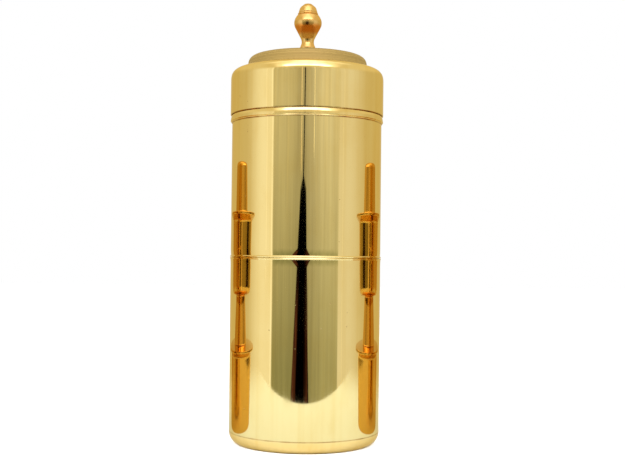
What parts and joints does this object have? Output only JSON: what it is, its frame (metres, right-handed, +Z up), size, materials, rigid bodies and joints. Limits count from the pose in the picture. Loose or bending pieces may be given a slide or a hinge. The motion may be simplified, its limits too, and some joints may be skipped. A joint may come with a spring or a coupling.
{
  "type": "drip coffee filter",
  "caption": "Drip coffee filter of stacked sheet-brass cylinders with a perforated floor between them, a press disc on a rod inside, and a cap lid with a turned knob.",
  "frame": {"origin": "centre of the base, on the surface the filter stands on", "axes": "+Z up along the common axis of every piece; the object is round, so +X and +Y are arbitrary, with the viewer on the -Y side"},
  "size_m": [0.0904, 0.0904, 0.2594],
  "materials": {
    "sheet_brass": "mirror-polished spun sheet with faint upright buffing lines",
    "cast_brass": "cast and turned, softer polish",
    "drawn_brass": "drawn wire and rod, polished",
    "punched_brass": "punched plate, lightly dulled by use"
  },
  "bodies": {
    "lower_vessel": {"base_pan": "sheet_brass", "lower_wall": "sheet_brass"},
    "upper_vessel": {"upper_wall": "sheet_brass", "lid_stop_ring": "drawn_brass", "spigot_sleeve": "sheet_brass", "filter_plate": "punched_brass"},
    "press": {"press_disc": "punched_brass", "press_burr": "punched_brass", "press_collar": "cast_brass", "press_rod": "drawn_brass", "press_grip": "cast_brass"},
    "lid": {"lid_shell": "sheet_brass", "lid_knob": "cast_brass", "lid_knob_washer": "punched_brass", "lid_knob_screw": "drawn_brass"}
  },
  "joints": [
    {"name": "upper_lift", "type": "slide", "parent": "lower_vessel", "child": "upper_vessel", "axis": [0, 0, 1], "range_m": [0, 0.05]},
    {"name": "press_lift", "type": "slide", "parent": "upper_vessel", "child": "press", "axis": [0, 0, 1], "range_m": [0, 0.13]},
    {"name": "lid_lift", "type": "slide", "parent": "press", "child": "lid", "axis": [0, 0, 1], "range_m": [0, 0.06]}
  ]
}
